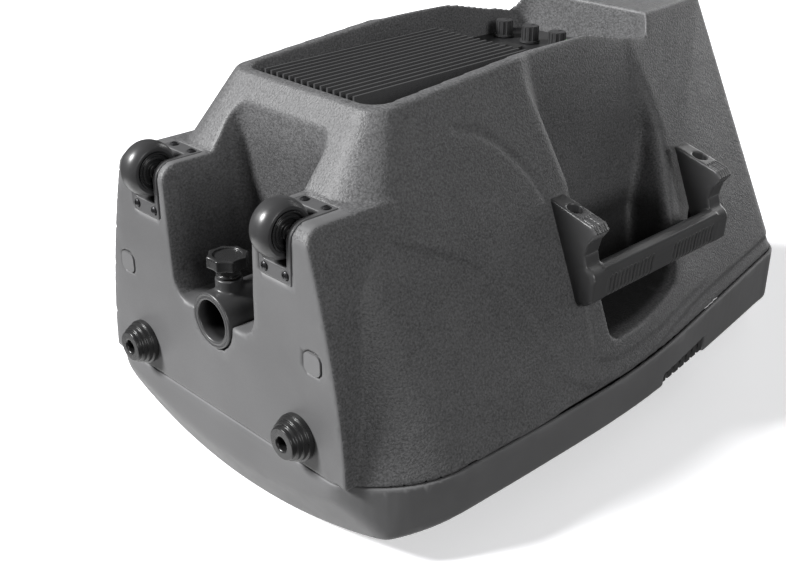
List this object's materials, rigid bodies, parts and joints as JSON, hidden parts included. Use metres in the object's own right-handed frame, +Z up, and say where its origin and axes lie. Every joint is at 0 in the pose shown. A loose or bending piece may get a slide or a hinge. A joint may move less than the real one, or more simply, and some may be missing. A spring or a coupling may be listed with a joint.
{
  "type": "portable pa loudspeaker",
  "caption": "Moulded powered loudspeaker cabinet with bowed front, pole socket and clamp knob, transport wheels, rubber feet, side handles and recessed rear amplifier panel.",
  "frame": {"origin": "centre of the bounding box on the plane that the feet stand on", "axes": "+Z up, front of the loudspeaker towards -Y, its left side towards -X"},
  "size_m": [0.415, 0.356, 0.6895],
  "materials": {
    "grained_shell": "moulded pebble grain",
    "front_moulding": "fine satin moulding",
    "gasket_foam": "closed-cell foam",
    "black_screw": "black zinc",
    "grille_steel": "perforated, powder coated",
    "port_plastic": "satin black moulding",
    "basket_steel": "black enamel",
    "ferrite": "pressed ferrite",
    "zinc_steel": "bright zinc",
    "cone_paper": "pressed paper",
    "copper_coil": "enamelled wire",
    "surround_cloth": "doped cloth",
    "spider_cloth": "impregnated cloth",
    "titanium_foil": "formed foil",
    "panel_paint": "black powder coat",
    "heatsink_black": "black anodised",
    "board_green": "solder mask",
    "transformer_tape": "polyester tape",
    "brass": "turned",
    "inlet_plastic": "semi-gloss",
    "rocker_gloss": "gloss",
    "knob_plastic": "satin",
    "led_lens": "tinted lens",
    "socket_plastic": "satin moulding",
    "clamp_plastic": "semi-gloss nylon",
    "housing_plastic": "satin nylon",
    "wheel_plastic": "semi-gloss nylon",
    "wheel_tyre": "smooth polyurethane",
    "foot_rubber": "moulded rubber",
    "plug_plastic": "fine satin moulding",
    "handle_plastic": "satin nylon",
    "damping_felt": "polyester wadding",
    "lead_pvc": "PVC"
  },
  "bodies": {
    "cabinet": {"rear_shell": "grained_shell", "front_baffle": "front_moulding", "seam_gasket": "gasket_foam", "cabinet_screws": "black_screw", "woofer_grille": "grille_steel", "port_insert_left": "port_plastic", "port_insert_right": "port_plastic", "port_tube_left": "port_plastic", "port_tube_right": "port_plastic", "woofer_basket": "basket_steel", "woofer_magnet": "ferrite", "woofer_yoke": "zinc_steel", "woofer_top_plate": "zinc_steel", "woofer_surround": "surround_cloth", "woofer_spider": "spider_cloth", "woofer_screws": "black_screw", "horn_flare": "port_plastic", "compression_driver": "basket_steel", "driver_cap": "port_plastic", "amp_panel": "panel_paint", "heatsink": "heatsink_black", "main_board": "board_green", "power_transformer": "transformer_tape", "board_spacers": "brass", "mains_inlet": "inlet_plastic", "fuse_holder": "inlet_plastic", "input_sockets": "inlet_plastic", "link_socket": "inlet_plastic", "status_led": "led_lens", "panel_screws": "black_screw", "pole_socket": "socket_plastic", "clamp_insert": "brass", "wheel_housing_left": "housing_plastic", "wheel_housing_right": "housing_plastic", "wheel_axles": "zinc_steel", "housing_screws": "black_screw", "foot_left": "foot_rubber", "foot_right": "foot_rubber", "foot_screws": "black_screw", "blanking_plugs": "plug_plastic", "side_handle_left": "handle_plastic", "side_handle_right": "handle_plastic", "handle_bolts": "black_screw", "top_handle": "handle_plastic", "damping_pad": "damping_felt", "driver_leads": "lead_pvc"},
    "left_wheel": {"wheel_left": "wheel_plastic", "tyre_left": "wheel_tyre"},
    "right_wheel": {"wheel_right": "wheel_plastic", "tyre_right": "wheel_tyre"},
    "clamp_knob_turn": {"clamp_knob": "clamp_plastic"},
    "clamp_pad_push": {"clamp_pad": "zinc_steel"},
    "mic_level": {"mic_knob": "knob_plastic"},
    "line_level": {"line_knob": "knob_plastic"},
    "master_level": {"master_knob": "knob_plastic"},
    "rocker": {"power_rocker": "rocker_gloss"},
    "cone": {"woofer_cone": "cone_paper", "dust_cap": "cone_paper", "voice_coil": "copper_coil"},
    "diaphragm": {"hf_diaphragm": "titanium_foil"}
  },
  "joints": [
    {"name": "left_wheel_spin", "type": "hinge", "parent": "cabinet", "child": "left_wheel", "pos_m": [-0.08575, 0.0956, 0.024], "axis": [1, 0, 0], "continuous": true},
    {"name": "right_wheel_spin", "type": "hinge", "parent": "cabinet", "child": "right_wheel", "pos_m": [0.08575, 0.0956, 0.024], "axis": [1, 0, 0], "continuous": true},
    {"name": "clamp_turn", "type": "hinge", "parent": "cabinet", "child": "clamp_knob_turn", "pos_m": [0, 0.022, 0.0365], "axis": [0, -1, 0], "range_deg": [0, 864]},
    {"name": "clamp_push", "type": "slide", "parent": "cabinet", "child": "clamp_pad_push", "axis": [0, -1, 0], "range_m": [0, 0.00301]},
    {"name": "master_level_turn", "type": "hinge", "parent": "cabinet", "child": "master_level", "pos_m": [0.064, 0.138, 0.4415], "axis": [0, 1, 0], "range_deg": [-150, 150]},
    {"name": "line_level_turn", "type": "hinge", "parent": "cabinet", "child": "line_level", "pos_m": [0.03, 0.138, 0.4415], "axis": [0, 1, 0], "range_deg": [-150, 150]},
    {"name": "mic_level_turn", "type": "hinge", "parent": "cabinet", "child": "mic_level", "pos_m": [-0.004, 0.138, 0.4415], "axis": [0, 1, 0], "range_deg": [-150, 150]},
    {"name": "power_switch", "type": "hinge", "parent": "cabinet", "child": "rocker", "pos_m": [-0.044, 0.139, 0.4155], "axis": [1, 0, 0], "range_deg": [-12, 0]},
    {"name": "cone_travel", "type": "slide", "parent": "cabinet", "child": "cone", "axis": [0, -1, 0], "range_m": [-0.006, 0.006], "stiffness_N_per_m": 4000, "deforming": ["woofer_surround", "woofer_spider"]},
    {"name": "diaphragm_travel", "type": "slide", "parent": "cabinet", "child": "diaphragm", "axis": [0, 1, 0], "range_m": [-0.0004, 0.0004], "stiffness_N_per_m": 2000}
  ],
  "couplings": [
    {"joint": "clamp_push", "follows": "clamp_turn", "m_per_rad": 0.000199}
  ]
}
